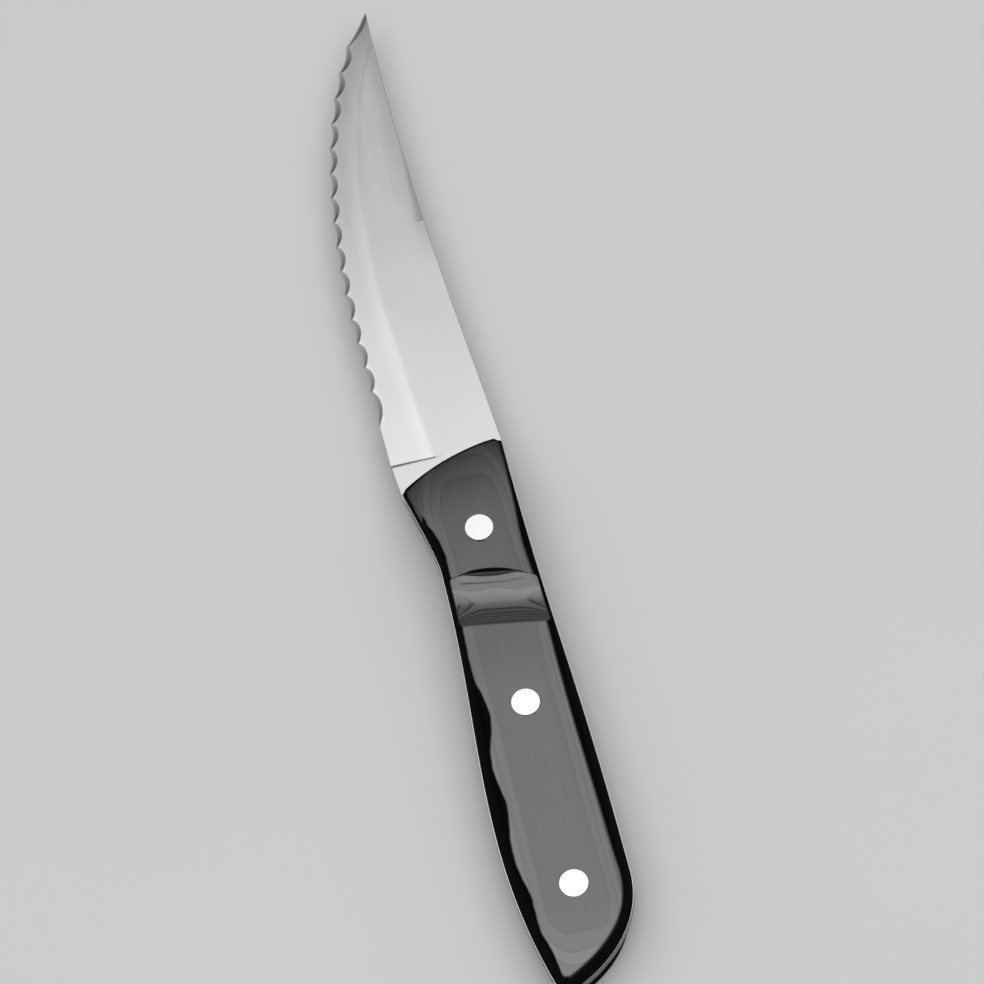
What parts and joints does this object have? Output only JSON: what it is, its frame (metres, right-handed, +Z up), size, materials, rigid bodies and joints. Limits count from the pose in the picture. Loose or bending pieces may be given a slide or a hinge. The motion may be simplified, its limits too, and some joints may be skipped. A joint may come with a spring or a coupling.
{
  "type": "steak knife",
  "caption": "Full-tang table knife with a pointed, scalloped steel blade, black laminated handle scales and flush steel rivets.",
  "frame": {"origin": "centre of the bottom of the bounding box, with the knife lying flat on its right side", "axes": "+X from the butt to the point, +Y from the spine to the cutting edge, +Z up out of the left face"},
  "size_m": [0.2492, 0.0286, 0.0169],
  "materials": {
    "blade_steel": "fine satin, almost polished",
    "black_laminate": "resin-filled black wood laminate, buffed to a soft sheen",
    "rivet_steel": "ground flush and polished"
  },
  "bodies": {
    "root": {"blade": "blade_steel", "left_scale": "black_laminate", "right_scale": "black_laminate", "front_rivet_sleeve": "rivet_steel", "front_rivet_stud": "rivet_steel", "middle_rivet_sleeve": "rivet_steel", "middle_rivet_stud": "rivet_steel", "rear_rivet_sleeve": "rivet_steel", "rear_rivet_stud": "rivet_steel"}
  },
  "joints": []
}
